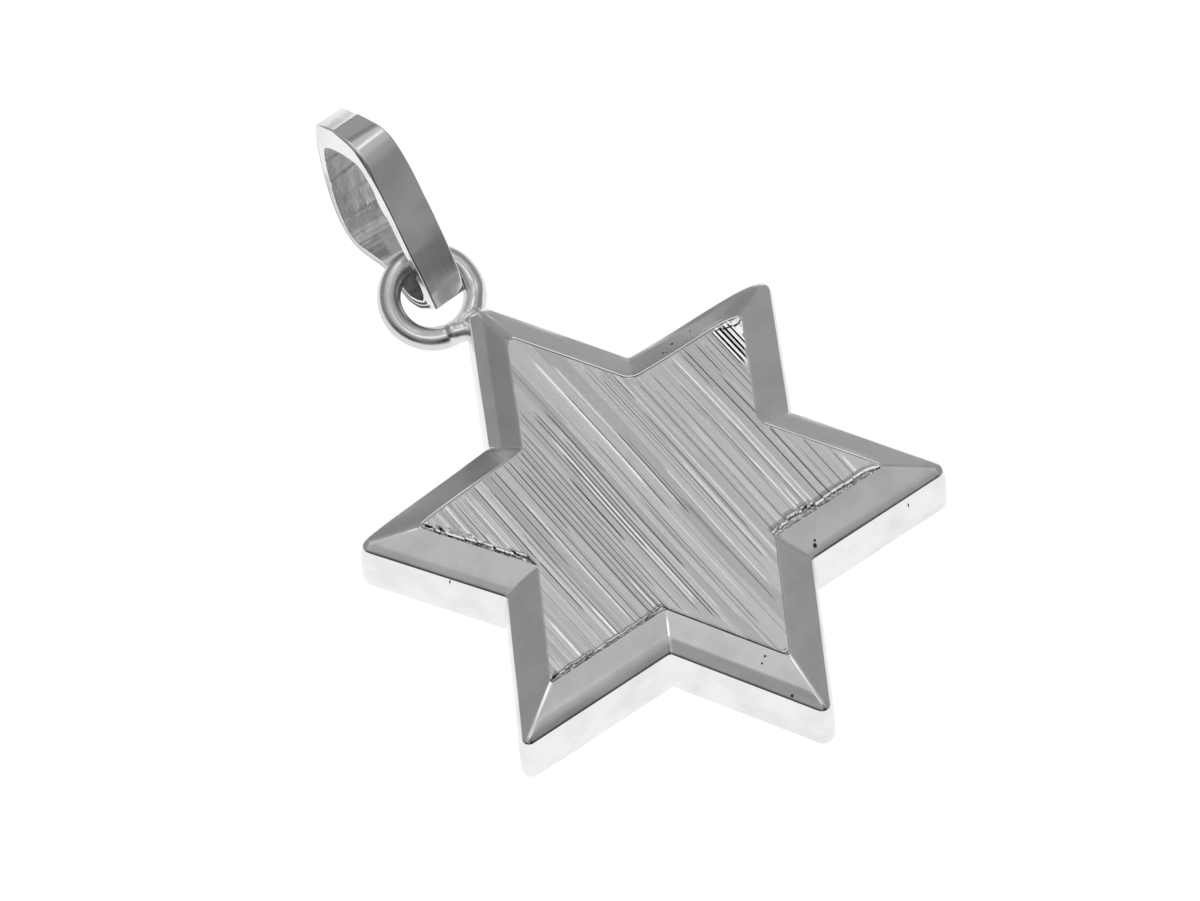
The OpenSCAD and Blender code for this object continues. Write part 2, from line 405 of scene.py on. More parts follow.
def add_node(tree, kind, links=None, **settings):
    """One shader node in a tree. A setting names a property of the node, or with value_N its input
    N; a link gives the input's name or number and the socket that feeds it."""
    node = tree.nodes.new("ShaderNode" + kind)
    for key, value in settings.items():
        if key.startswith("value_"):
            node.inputs[int(key[6:])].default_value = value
        else:
            setattr(node, key, value)
    for target, source in (links or {}).items():
        tree.links.new(source, node.inputs[target])
    return node


def math_node(tree, operation, a, b=None, c=None, clamp=False):
    """A maths node whose inputs are sockets or plain numbers; gives its output socket."""
    node = add_node(tree, "Math", operation=operation, use_clamp=clamp)
    for k, source in enumerate((a, b, c)):
        if isinstance(source, (int, float)):
            node.inputs[k].default_value = source
        elif source is not None:
            tree.links.new(source, node.inputs[k])
    return node.outputs[0]


def mix_node(tree, share, a, b):
    """Mixes two colours by a share. Each is a socket or a plain colour; gives the output socket."""
    node = add_node(tree, "Mix", {0: share}, data_type="RGBA")
    for k, source in ((6, a), (7, b)):
        if isinstance(source, tuple):
            node.inputs[k].default_value = source
        else:
            tree.links.new(source, node.inputs[k])
    return node.outputs[2]


def range_node(tree, source, low, high, to_low=0.0, to_high=1.0, **settings):
    """Carries a value from one range evenly to another and stops it at both ends."""
    node = add_node(tree, "MapRange", {"Value": source}, value_1=low, value_2=high,
                    value_3=to_low, value_4=to_high, **settings)
    return node.outputs[0]


def grain_node(tree, vector, turn, stretch, detail, rough=0.5):
    """Noise on coordinates that are turned, and stretched by different amounts along each axis,
    which draws it out into hairs or lumps; gives its output socket."""
    place = add_node(tree, "Mapping", {"Vector": vector}, value_2=turn, value_3=stretch)
    noise = add_node(tree, "TexNoise", {"Vector": place.outputs[0]},
                     value_2=1.0, value_3=detail, value_4=rough)
    return noise.outputs["Fac"]


def wear_group():
    """Hand polish and light wear. Dull is a slow cloudy mask, Fine a field of crossing hairlines
    and Height their shallow relief, all from noise on the given coordinates in metres."""
    group, start, end = new_group(
        "hand_polish",
        [("Vector", "NodeSocketVector", None), ("Cloud Size", "NodeSocketFloat", 700.0)],
        [("Dull", "NodeSocketFloat"), ("Fine", "NodeSocketFloat"), ("Height", "NodeSocketFloat")],
    )
    vector = start.outputs["Vector"]
    cloud = add_node(group, "TexNoise", {"Vector": vector, "Scale": start.outputs["Cloud Size"]},
                     value_3=3.0, value_4=0.55).outputs["Fac"]
    hairs = math_node(group, "ADD", *[grain_node(group, vector, *h, 2.0) for h in hairlines])
    fine = math_node(group, "SUBTRACT", hairs, 0.5, clamp=True)
    height = math_node(group, "MULTIPLY_ADD", cloud, 2.0, hairs)
    group.links.new(range_node(group, cloud, 0.42, 0.72), end.inputs["Dull"])
    group.links.new(fine, end.inputs["Fine"])
    group.links.new(height, end.inputs["Height"])
    return group


hand_polish = wear_group()


def pit_group():
    """One casting pit: a mask that is one inside the radius of its centre and falls to zero just
    outside, with an uneven edge from noise. Height counts for only a quarter of the distance."""
    group, start, end = new_group(
        "casting_pit",
        [("Vector", "NodeSocketVector", None), ("Centre", "NodeSocketVector", None),
         ("Radius", "NodeSocketFloat", 0.00008)],
        [("Pit", "NodeSocketFloat")],
    )
    vector = start.outputs["Vector"]
    noise = add_node(group, "TexNoise", {"Vector": vector}, value_2=9000.0, value_3=2.0)
    away = add_node(group, "VectorMath", {0: vector, 1: start.outputs["Centre"]},
                    operation="SUBTRACT")
    flat = add_node(group, "VectorMath", {0: away.outputs[0]}, operation="MULTIPLY",
                    value_1=(1.0, 1.0, 0.25))
    length = add_node(group, "VectorMath", {0: flat.outputs[0]}, operation="LENGTH")
    share = math_node(group, "DIVIDE", length.outputs["Value"], start.outputs["Radius"])
    uneven = math_node(group, "MULTIPLY_ADD", noise.outputs["Fac"], 0.9, share)
    group.links.new(range_node(group, uneven, 1.65, 1.15), end.inputs["Pit"])
    return group


casting_pit = pit_group()

# Casting pits on the rim and the walls. Columns: x, y, z and radius, in millimetres.
pits = np.array([
    [4.39, 4.53, 2.71, 0.06],
    [3.89, 4.38, 2.79, 0.05],
    [3.98, 4.3, 2.8, 0.035],
    [5.23, 4.62, 2.66, 0.04],
    [3.33, -4.93, 2.55, 0.08],
    [3.42, -4.8, 2.6, 0.045],
    [-0.83, -9.08, 2.5, 0.06],
    [-0.77, -7.53, 2.75, 0.05],
    [-0.98, -7.63, 2.7, 0.04],
    [-7.12, 1.77, 2.15, 0.032],
    [7.02, -5.32, 1.94, 0.03],
    [-3.1, -5.85, 2.35, 0.06],
])


def new_metal(name):
    """A plain metal, still without its surface: the material, its node tree and its shader."""
    material = bpy.data.materials.new(name)
    material.use_nodes = True
    shader = material.node_tree.nodes["Principled BSDF"]
    shader.inputs["Metallic"].default_value = 1.0
    return material, material.node_tree, shader


def make_silver(name, roughness, dull_rough, pale, with_pits=()):
    """Polished silver: a pale metal, a little darker and rougher where the wear mask is high, with
    hairline relief, and dark where a pit is and where the mesh's grime and shade value is high,
    which holds grime and painted shade. Where the mesh's As cast value is one the skin is grey,
    rough and lumpy."""
    material, tree, shader = new_metal(name)
    place = add_node(tree, "TexCoord").outputs["Object"]
    polish = add_node(tree, "Group", {"Vector": place}, node_tree=hand_polish)
    cast = add_node(tree, "Attribute", attribute_name="As cast").outputs["Fac"]
    # Grime and painted shade from the mesh; the casting pits are added to it below.
    dirt_and_shade = add_node(tree, "Attribute", attribute_name="Grime and shade").outputs["Fac"]
    for x, y, z, radius in with_pits:
        pit = add_node(tree, "Group", {"Vector": place}, node_tree=casting_pit)
        pit.inputs["Centre"].default_value = (x * MM, y * MM, z * MM)
        pit.inputs["Radius"].default_value = radius * MM
        dirt_and_shade = math_node(tree, "MAXIMUM", dirt_and_shade, pit.outputs[0])
    darkened = pale - worn_darker
    polished = mix_node(tree, polish.outputs["Dull"], (pale, pale, pale - 0.005, 1.0),
                        (darkened, darkened, darkened - 0.01, 1.0))
    skin = grain_node(tree, place, *skin_lumps, 2.0, 0.55)
    skin_grey = mix_node(tree, skin, skin_dark, skin_pale)
    colour = mix_node(tree, dirt_and_shade, mix_node(tree, cast, polished, skin_grey), grime_and_shade_black)
    tree.links.new(colour, shader.inputs["Base Color"])
    rough = roughness
    for source, share in ((polish.outputs["Dull"], dull_rough), (polish.outputs["Fine"], 0.05),
                          (cast, 0.22), (dirt_and_shade, 0.4)):
        rough = math_node(tree, "MULTIPLY_ADD", source, share, rough)
    tree.links.new(rough, shader.inputs["Roughness"])
    bump = add_node(tree, "Bump", {"Height": polish.outputs["Height"]},
                    value_0=0.2, value_1=0.000004)
    lumps = math_node(tree, "MULTIPLY", skin, cast)
    skin_bump = add_node(tree, "Bump", {"Height": lumps, "Normal": bump.outputs[0]},
                         value_0=0.7, value_1=0.00003)
    tree.links.new(skin_bump.outputs[0], shader.inputs["Normal"])
    return material


polished_silver = make_silver("polished_silver", roughness=0.10, dull_rough=0.06, pale=0.90,
                              with_pits=pits)
cast_star.data.materials.append(polished_silver)
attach(cast_star, "root")
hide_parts("star_frame")


# Engraved plate
# A thinner silver plate let into the recess in the star's face. It was cut by hand with close
# straight lines: dark cuts, and bright facets where the graver leaned over.

# The gap round the plate, the drop of its face below the rim, its underside and its inset. Then
# the turn of its lines, how fast they fade in, how steep a facet is and how sharp a step.
plate_gap = 0.004
plate_drop = 0.010
plate_face = bevel_top - plate_drop
plate_floor = bevel_top - recess_depth + 0.05
plate_inset = bevel_w + lip_w + plate_gap
line_turn = math.radians(0.2)
line_fade = 0.5
facet_lift = 0.70
step_w = 0.006

# Rows of points on a patch of the plate, and the distances in from its edge of the close ones.
plate_rows = 34
edge_rows = np.array([0, 0.02, 0.045, 0.06, 0.09, 0.14, 0.17, 0.20, 0.23])

# How the plate's edges end: share of a roll's width that it rises or drops, slope of a torn edge,
# width past which a roll is only a cut, and the painted shadow under a burr and painted shade in
# that cut.
roll_depth = 0.6
torn_slope = 2.0
wide_roll = 0.1
burr_shadow = 0.10
groove_shade = 0.14

# The finish: colour in a cut and of the painted shade at the plate's edges, depth past which a cut
# is as dark as that, how hairlines are drawn out across and along the lines, and the tones that
# hairlines and bands may take the pale down to.
cut_and_shade_black = (0.03, 0.03, 0.03, 1.0)
cut_full = 0.045
hair_draw = (52.0, 0.30, 1.0)
hair_tone = 0.90
band_tone = 0.80

# The main lines from left to right. Columns: place across the plate, width, depth of the cut or,
# for a bright facet, minus its rise, and where the line starts and stops, from -Y to +Y.
main_lines = np.array([
    [-5.81, 0.03, 0.02, 2.7, 3.9], [-5.66, 0.12, -0.022, -4.2, -1.8],
    [-5.37, 0.04, 0.04, 0.9, 3.9], [-5.28, 0.09, -0.018, 1, 2.4],
    [-5.03, 0.03, 0.025, 1.2, 3.9], [-4.96, 0.1, -0.012, 0.8, 3.9],
    [-4.8, 0.13, -0.014, -4, 3.9], [-4.5, 0.035, 0.045, -2.5, 4.2],
    [-4.3, 0.03, 0.02, -4.2, 1.5], [-4.21, 0.08, -0.018, -4.2, -2.2],
    [-4.13, 0.03, 0.03, -4.2, 3.6], [-3.81, 0.03, 0.03, -0.8, 4.2],
    [-3.58, 0.035, 0.045, 0.4, 4.2], [-3.51, 0.08, -0.018, -3.8, 2.6],
    [-3.42, 0.03, 0.035, -4.2, 1.2], [-3.19, 0.03, 0.035, -4.2, 4.2],
    [-2.98, 0.035, 0.05, 0.4, 4.2], [-2.79, 0.035, 0.045, -4.4, 3.6],
    [-2.61, 0.03, 0.03, -4.4, 4.2], [-2.53, 0.08, -0.016, -4.4, -2.2],
    [-2.43, 0.03, 0.04, -4.4, 4.4], [-2.25, 0.03, 0.03, -4.6, 4.6],
    [-2.07, 0.03, 0.035, -3.2, 4.9], [-1.9, 0.03, 0.035, -4.6, 5],
    [-1.73, 0.05, 0.055, -1.1, 2.3], [-1.48, 0.03, 0.03, -4.9, 5.6],
    [-1.41, 0.07, -0.016, -4.6, 2.2], [-1.35, 0.035, 0.045, -1.9, 3.2],
    [-1.28, 0.07, -0.016, -4.6, 4], [-1.21, 0.03, 0.05, -5.4, 5],
    [-1.09, 0.03, 0.045, -5.6, 5.2], [-0.95, 0.03, 0.03, -0.8, 3.8],
    [-0.86, 0.08, -0.018, -5.5, 4.4], [-0.79, 0.035, 0.05, -3.2, 5],
    [-0.52, 0.11, -0.014, -6.2, 4.4], [-0.2, 0.03, 0.025, -6.6, 3],
    [0.14, 0.12, -0.026, 0.2, 7], [0.2, 0.035, 0.045, -1, 5.2],
    [0.55, 0.12, -0.024, -1.2, 6.4], [0.63, 0.035, 0.05, -1.6, 2.8],
    [0.8, 0.03, 0.025, -6.2, -0.8], [1.02, 0.1, -0.04, -5.6, 0.6],
    [1.17, 0.08, -0.036, -5.4, 0.2], [1.3, 0.03, 0.02, -5, 5.6],
    [1.55, 0.03, 0.03, -4.6, 5], [1.7, 0.2, -0.02, -4.6, 1.2],
    [1.85, 0.03, 0.03, -3.4, 2.8], [1.93, 0.03, 0.04, 3.2, 4.8],
    [2.24, 0.13, -0.018, -0.2, 4.2], [2.42, 0.03, 0.032, -4.2, 4],
    [2.84, 0.24, -0.022, -4.2, 1.6], [3, 0.03, 0.03, -4.2, 4],
    [3.11, 0.12, -0.024, -4.2, 2], [3.33, 0.03, 0.018, 1, 4],
    [3.5, 0.03, 0.028, -2, 3], [3.58, 0.11, -0.016, -4.2, -0.8],
    [3.76, 0.12, -0.024, -4.2, -2.4], [4.02, 0.12, -0.026, -4.2, 4.1],
    [4.33, 0.03, 0.028, 2, 4.1], [4.51, 0.035, 0.048, -4.2, 4.1],
    [4.68, 0.24, -0.022, -4.2, -0.2], [4.83, 0.035, 0.045, -4.2, 2.4],
    [4.95, 0.035, 0.05, 2.2, 4.1], [5.19, 0.03, 0.022, 0.8, 3.8],
    [5.43, 0.03, 0.035, -4.2, 4.1], [5.6, 0.03, 0.02, 1.4, 4.1],
    [5.7, 0.05, 0.1, 2.1, 4.3], [5.83, 0.07, 0.18, 2.2, 4.3],
    [5.99, 0.08, 0.2, 2.3, 4.3], [6.16, 0.075, 0.2, 2.5, 4.3],
    [6.33, 0.06, 0.2, 2.8, 4.3], [5.87, 0.36, -0.11, 1.9, 4.6],
    [6.24, 0.36, -0.11, 2.2, 4.6], [6.6, 0.34, -0.11, 2.4, 4.6],
    [5.9, 0.03, 0.025, -4.2, -2.2], [6.03, 0.13, -0.028, -4.2, -2.6],
])


def sway(u, w):
    """Sideways drift of engraved line u at distance w along it: two slow sine waves."""
    return 0.024 * np.sin(w / 2.1 + 0.4 * u) + 0.004 * np.sin(w / 0.9 + 1.7 * u)


def line_point(u, w):
    """Place on the plate of a point on engraved line u, at distance w along it. The lines run
    along Y, turned a little and swaying slowly by a few hundredths of a millimetre."""
    x = u + sway(u, w)
    c, s = math.cos(line_turn), math.sin(line_turn)
    return np.stack([x * c - w * s, x * s + w * c], -1)


def line_place(p):
    """The line u and the distance w along it of points on the plate: the turn undone, and then
    the sway taken off by repeating it from a first guess until it settles."""
    c, s = math.cos(line_turn), math.sin(line_turn)
    x, w = p[:, 0] * c + p[:, 1] * s, -p[:, 0] * s + p[:, 1] * c
    u = x
    for _ in range(12):
        u = x - sway(u, w)
    return u, w


def all_lines():
    """The main lines and, between them, fine lines at random places: closer on the left of the
    plate, and mostly shallow cuts that fade out at both ends."""
    rng = np.random.default_rng(21)
    u = np.cumsum(rng.uniform(0.03, 0.10, 400)) - 7.3
    near = np.abs(u[:, None] - main_lines[None, :, 0]).min(1)
    keep = (u < 7.3) & (near > 0.04) & (rng.random(400) < np.where(u < 0.3, 0.85, 0.55))
    u = u[keep]
    n = len(u)
    cut = rng.random(n) < 0.55
    width = np.where(cut, 0.022, rng.uniform(0.03, 0.07, n))
    depth = np.where(cut, rng.uniform(0.006, 0.020, n), -width * rng.uniform(0.05, 0.16, n))
    start = rng.uniform(-11, 2, n)
    fine = np.stack([u, width, depth, start, start + rng.uniform(4, 14, n)], 1)
    return np.concatenate([main_lines, fine])


def line_heights(lines, u, w):
    """Height left by the cuts and by the bright facets at points u, w. A cut is a V of its width
    and depth, a facet climbs evenly across its width and drops back at once, and both fade in and
    out over half a millimetre along the line."""
    away = u[:, None] - lines[None, :, 0]
    half = lines[None, :, 1] / 2
    deep = lines[None, :, 2].clip(0)
    lift = (-facet_lift * lines[None, :, 2]).clip(0)
    vee = np.clip(1 - np.abs(away) / half, 0, 1) * deep
    climb = np.where(np.abs(away) < half, away / (2 * half), 0) * lift
    gate = np.clip((w[..., None] - lines[:, 3]) / line_fade, 0, 1)
    gate = gate * np.clip((lines[:, 4] - w[..., None]) / line_fade, 0, 1)
    return (vee[:, None] * gate).sum(-1), (climb[:, None] * gate).sum(-1)


def plate_spans(u, ring):
    """For each line u, the sorted distances w at which it crosses the outline: two through the
    middle of the star, four where the line crosses two of its points."""
    ring_u, ring_w = line_place(ring)
    next_u, next_w = np.roll(ring_u, -1), np.roll(ring_w, -1)
    spans = []
    for at in u:
        hit = np.nonzero((ring_u > at) != (next_u > at))[0]
        share = (at - ring_u[hit]) / (next_u[hit] - ring_u[hit])
        spans.append(np.sort(ring_w[hit] + share * (next_w[hit] - ring_w[hit])))
    return spans


def torn(u, length, seed):
    """Steps between 0 and 1 along the plate, each about the given length, for a torn edge."""
    rng = np.random.default_rng(seed)
    ends = np.cumsum(rng.uniform(0.4, 1.6, 400) * length) - 8
    return rng.random(401)[np.searchsorted(ends, u)]


def make_plate():
    """The plate as six patches of a grid, whose columns follow the engraved lines and whose rows
    run along them: two halves in the middle and four points at the sides. Its edges roll over by
    a few hundredths, and a flat back and upright walls close it."""
    lines = all_lines()
    rng = np.random.default_rng(8)
    knots = np.sort(np.concatenate([rng.uniform(-7.4, 0.6, 64), rng.uniform(0.6, 7.4, 36)]))
    level = rng.uniform(-0.010, 0.0, len(knots))
    tones = rng.random(len(knots) + 1)
    line, half = lines[:, 0], lines[:, 1] / 2
    u = np.concatenate([knots, knots - step_w, line, line - half, line + half,
                        line + half + step_w])
    ring = star_rings(np.array([-plate_inset]))[0][0]
    ring_u = line_place(ring)[0]
    ends = np.array([ring_u.min() + 0.004, ring_u.max() - 0.004])
    u = np.unique(np.concatenate([u[(u > ends[0]) & (u < ends[1])], ends]).round(4))
    u = u[np.concatenate([[True], np.diff(u) > 0.0025])]
    spans = plate_spans(u, ring)
    points, faces, uv, cut_and_shade, bands = [], [], [], [], []

    def patch(cols, low, high, low_roll, high_roll, torn_w=0.09, steep=1.0):
        """One grid patch over these columns, from w = low to w = high on each. The rolls give how
        far in the edge starts to turn down, or as a minus figure to turn up to a burr, which falls
        off over the torn width, half as steeply along an edge that the lines meet at a slant. A
        wide one is only a cut that runs beside the edge, and None means that another patch goes on
        there."""
        base = sum(len(p) for p in points)
        span = np.maximum(high - low, 0.002)[:, None]
        short = np.minimum(1, span / 0.5)
        close = edge_rows[None] * short
        inset = close[:, -1:]
        t = np.linspace(0, 1, plate_rows)[None, 1:-1]
        low, high = low[:, None], low[:, None] + span
        w = np.concatenate([low + close, low + inset + (span - 2 * inset) * t,
                            high - close[:, ::-1]], 1)
        rows = w.shape[1]
        uu = np.repeat(u[cols][:, None], rows, 1)
        vee, climb = line_heights(lines, u[cols], w)
        z = plate_face + np.interp(uu, knots, level) - vee + climb
        for roll, away in ((low_roll, w - low), (high_roll, high - w)):
            if roll is not None:
                roll = np.broadcast_to(roll, len(cols))[:, None] * short
                width = np.reshape(torn_w, (-1, 1)) * short * (roll < 0)
                bent = np.clip(1 - (away - width).clip(0) / np.abs(roll), 0, 1) ** 2
                z = z - roll_depth * roll * bent * (roll < wide_roll)
                z = z - torn_slope * steep * (width - away).clip(0)
                # Painted shadow under a burr, and painted shade in the cut beside a wide roll.
                vee = vee + burr_shadow * np.clip(1.3 - away / 0.02, 0, 1) * (roll < 0)
                vee = vee * np.where(roll > wide_roll, np.clip((away - roll) / 0.02, 0, 1), 1)
                groove = np.clip(1 - np.abs(away - roll) / 0.03, 0, 1) * (roll > wide_roll)
                vee = vee + groove_shade * groove
        top = np.concatenate([line_point(uu, w), z[..., None]], 2)
        under = top[:, [0, -1]].copy()
        under[..., 2] = plate_floor
        points.extend([top.reshape(-1, 3), under.reshape(-1, 3)])
        place = np.stack([uu, w], -1)
        uv.extend([place.reshape(-1, 2), place[:, [0, -1]].reshape(-1, 2)])
        # Cut depth with the painted shade at the edges, and full painted shade on the walls and
        # underside.
        cut_and_shade.extend([vee.ravel(), np.ones(2 * len(cols))])
        band = tones[np.searchsorted(knots, uu + 0.0001)]
        bands.extend([band.ravel(), band[:, [0, -1]].ravel()])
        c, r = np.meshgrid(np.arange(len(cols) - 1), np.arange(rows - 1), indexing="ij")
        i = base + c * rows + r
        faces.append(np.stack([i, i + rows, i + rows + 1, i + 1], -1).reshape(-1, 4))
        c = np.arange(len(cols) - 1)
        f = base + len(cols) * rows + 2 * c
        t0, t1 = base + c * rows, base + c * rows + rows - 1
        faces.append(np.stack([f, f + 1, f + 3, f + 2], -1))
        if low_roll is not None:
            faces.append(np.stack([t0, f, f + 2, t0 + rows], -1))
        if high_roll is not None:
            faces.append(np.stack([t1, t1 + rows, f + 3, f + 1], -1))

    count = np.array([len(s) for s in spans])
    wide = np.nonzero(count == 4)[0]
    a, b = wide[u[wide] < 0].max(), wide[u[wide] > 0].min()
    first = np.array([s[0] for s in spans])
    last = np.array([s[-1] for s in spans])

    # The lower edge from left to right: the ragged seam at the left point, a burr along the next
    # edge, a part that is tucked under, and the widest ragged seam, which ends evenly.
    parts = [u < -2.2, u < -0.1, u < 2.3]
    seam = 0.05 + 0.16 * torn(u, 0.13, 3) * torn(u, 0.5, 4)
    seam = np.where(u > 4.5, 0.06 + 0.03 * torn(u, 0.4, 6), seam)
    seam = seam * np.clip((6.8 - u) / 0.5, 0.1, 1)
    first = first + np.select(parts, [seam, 0.08, 0.03], seam * 1.6)
    low_roll = np.select(parts, [-0.12, -0.13, 0.06], -0.21)
    torn_w = np.where(u < 2.3, 0.06, 0.09)
    mid = np.arange(a, b + 1)
    at = (u[mid] - u[a]) / (u[b] - u[a])
    middle = (spans[a][1] + spans[a][2]) / 2 * (1 - at) + (spans[b][1] + spans[b][2]) / 2 * at
    patch(mid, first[mid], middle, low_roll[mid], None, torn_w[mid])
    patch(mid, middle, last[mid], None, 0.05)
    for cols, side in ((np.arange(0, a + 1), -1), (np.arange(b, len(u)), 1)):
        lower = np.array([k for k in cols if count[k] == 4 or spans[k][0] < 0])
        upper = np.array([k for k in cols if count[k] == 4 or spans[k][-1] > 0])
        inner_low = np.array([spans[k][1] for k in lower])
        inner_high = np.array([spans[k][-2] for k in upper])
        if side < 0:
            inner_high = inner_high + 0.06 + 0.32 * torn(u[upper], 0.22, 5)
        joint = a if side < 0 else b
        inner_low[lower == joint] = inner_high[upper == joint] = middle[0 if side < 0 else -1]
        inner_high = np.minimum(inner_high, last[upper] - 0.01)
        roll = np.interp(u[upper], [5.6, 6.3], [0.03, 0.24])
        patch(lower, first[lower], inner_low, low_roll[lower], 0.04, torn_w[lower])
        patch(upper, inner_high, last[upper], 0.04 if side > 0 else -0.20, roll, 0.09, 0.6)
    points, weld = np.unique(np.concatenate(points).round(6), axis=0, return_inverse=True)
    weld = weld.ravel()
    faces = weld[np.concatenate(faces)]
    flat = (faces == np.roll(faces, 1, 1)).any(1)
    piece = put_mesh("engraved_plate", points, faces[~flat], smooth=False)
    place = np.zeros((len(points), 2))
    depth, tone = np.zeros(len(points)), np.zeros(len(points))
    place[weld] = np.concatenate(uv)
    depth[weld] = np.concatenate(cut_and_shade)
    tone[weld] = np.concatenate(bands)
    layer = piece.data.uv_layers.new(name="Lines")
    corner = np.empty(len(piece.data.loops), int)
    piece.data.loops.foreach_get("vertex_index", corner)
    layer.data.foreach_set("uv", place[corner].ravel())
    # Cut depth together with the painted shade at the plate's edges and walls.
    put_attribute(piece, "Cut and shade", depth)
    put_attribute(piece, "Band", tone)
    return piece


engraved_plate = make_plate()


def make_engraved():
    """Engraved silver: pale, with hairlines along the lines, a slow change of tone from band to
    band, and dark in the cuts, partly tarnish never polished out and partly painted shade, with
    painted shade under the plate's edges and down its walls."""
    material, tree, shader = new_metal("engraved_silver")
    along = add_node(tree, "UVMap", uv_map="Lines").outputs[0]
    hair = grain_node(tree, along, (0.0, 0.0, 0.0), hair_draw, 3.0, 0.7)
    band = add_node(tree, "Attribute", attribute_name="Band").outputs["Fac"]
    cut = add_node(tree, "Attribute", attribute_name="Cut and shade").outputs["Fac"]
    grey = math_node(tree, "MULTIPLY", range_node(tree, hair, 0.3, 0.7, hair_tone, 1.0),
                     range_node(tree, band, 0.0, 1.0, band_tone, 1.0))
    pale = add_node(tree, "CombineColor", {0: grey, 1: grey, 2: grey})
    # Black in the cuts, partly tarnish and partly painted shade, and painted shade at the edges.
    colour = mix_node(tree, range_node(tree, cut, 0.0, cut_full), pale.outputs[0], cut_and_shade_black)
    tree.links.new(colour, shader.inputs["Base Color"])
    rough = math_node(tree, "MULTIPLY_ADD", hair, 0.12, 0.14)
    tree.links.new(rough, shader.inputs["Roughness"])
    bump = add_node(tree, "Bump", {"Height": hair}, value_0=0.35, value_1=0.00001)
    tree.links.new(bump.outputs[0], shader.inputs["Normal"])
    return material


engraved_silver = make_engraved()
engraved_plate.data.materials.append(engraved_silver)
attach(engraved_plate, "root")
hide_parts("engraved_centre")


# Torn seam
# Where the plate was hammered in along the lower sides of three points, the seam was left ragged:
# small flakes of silver, torn from the plate and the rim, lie pressed into the gap at all angles.

# How many flakes there are, and of them larger ones; how much larger, and how much less tipped.
# Then a flake's thickness, its depth below the rim's top and the rise of the larger ones.
flake_count = 330
big_flakes = 26
big_size = 1.9
big_tip = 0.6
flake_thick = 0.03
flake_deep = 0.004
flake_lift = 0.03


def make_flakes():
    """Flat wedges scattered along the ragged seams. Each has three corners above and three below,
    scaled, turned in its plane and tipped at random. A few are larger, tipped less, and lie
    further in, on the plate at the first seam."""
    rng = np.random.default_rng(12)
    n = flake_count
    edge = rng.choice(ragged_seams, n)
    share = rng.uniform(0.10, 0.93, n)
    inset = bevel_w + rng.uniform(0.03, 0.17, n)
    big = np.arange(n) < big_flakes
    edge[big] = ragged_seams[0]
    share[big] = rng.uniform(0.14, 0.50, big_flakes)
    inset[big] = bevel_w + rng.uniform(0.16, 0.34, big_flakes)
    corners = moved_corners(star_corners(), -inset)
    pick = np.arange(n)
    start, stop = corners[pick, edge], corners[pick, (edge + 1) % 12]
    middle = start + (stop - start) * share[:, None]
    along = unit(stop - start)
    shape = np.array([[-1.0, -0.6, 0.0], [1.0, -0.2, 0.0], [-0.3, 0.9, 0.0]])
    size = [rng.uniform(0.04, 0.12, n), rng.uniform(0.025, 0.055, n), np.full(n, flake_thick)]
    shape = np.concatenate([shape, shape - [0, 0, 1]])[None] * np.stack(size, 1)[:, None]
    shape[big] *= big_size
    tip_x, tip_y = rng.normal(0, 0.5, n), rng.normal(0, 0.6, n)
    tip_x[big] *= big_tip
    tip_y[big] *= big_tip
    z = shape[..., 2] + shape[..., 0] * tip_x[:, None] + shape[..., 1] * tip_y[:, None]
    turn = np.arctan2(along[:, 1], along[:, 0]) + rng.normal(0, 0.5, n)
    c, s = np.cos(turn)[:, None], np.sin(turn)[:, None]
    x = middle[:, :1] + shape[..., 0] * c - shape[..., 1] * s
    y = middle[:, 1:] + shape[..., 0] * s + shape[..., 1] * c
    z = z + (bevel_top - flake_deep - rng.uniform(0, 0.02, n) + flake_lift * big)[:, None]
    points = np.stack([x, y, np.minimum(z, bevel_top + flake_lift)], -1).reshape(-1, 3)
    base = 6 * pick[:, None]
    faces = np.concatenate([base + [0, 1, 2], base + [5, 4, 3]]).tolist()
    for k, j in ((0, 1), (1, 2), (2, 0)):
        faces += (base + [j, k, k + 3, j + 3]).tolist()
    return put_mesh("seam_flakes", points, faces, smooth=False)


seam_flakes = make_flakes()
seam_flakes.data.materials.append(engraved_silver)
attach(seam_flakes, "root")
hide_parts("engraved_centre")


# Jump ring
# Round silver wire bent to a ring, closed and soldered to the star's blunt upper point. The
# solder is a small uneven lump that shows the wire's end.

# Radii of the ring and of its wire, its two turns and its centre, the steps round both, and the
# waves on the solder.
ring_r = 1.5
wire_r = 0.425
ring_tilt = math.radians(21.5)
ring_lean = math.radians(242.6)
ring_centre = np.array([-0.55, 12.02, 1.5])
ring_steps = 160
wire_steps = 40
solder_waves = 0.004

# Unevenness, dents and wear of the wire, as shares of its radius.
wire_waves = 0.010, 0.012
dent_depth = 0.05
rub_depth = 0.07

# Lumps of solder and the swollen end of the wire. Columns: x, y, z, radius.
solder = np.array([
    [-0.66, 10.56, 1.1, 0.42],
    [-0.5, 10.49, 1.11, 0.42],
    [-0.34, 10.41, 1.13, 0.42],
    [-0.17, 10.33, 1.14, 0.41],
    [-0.02, 10.42, 1.4, 0.27],
    [0.1, 10.4, 1.5, 0.25],
    [0.22, 10.34, 1.54, 0.3],
])


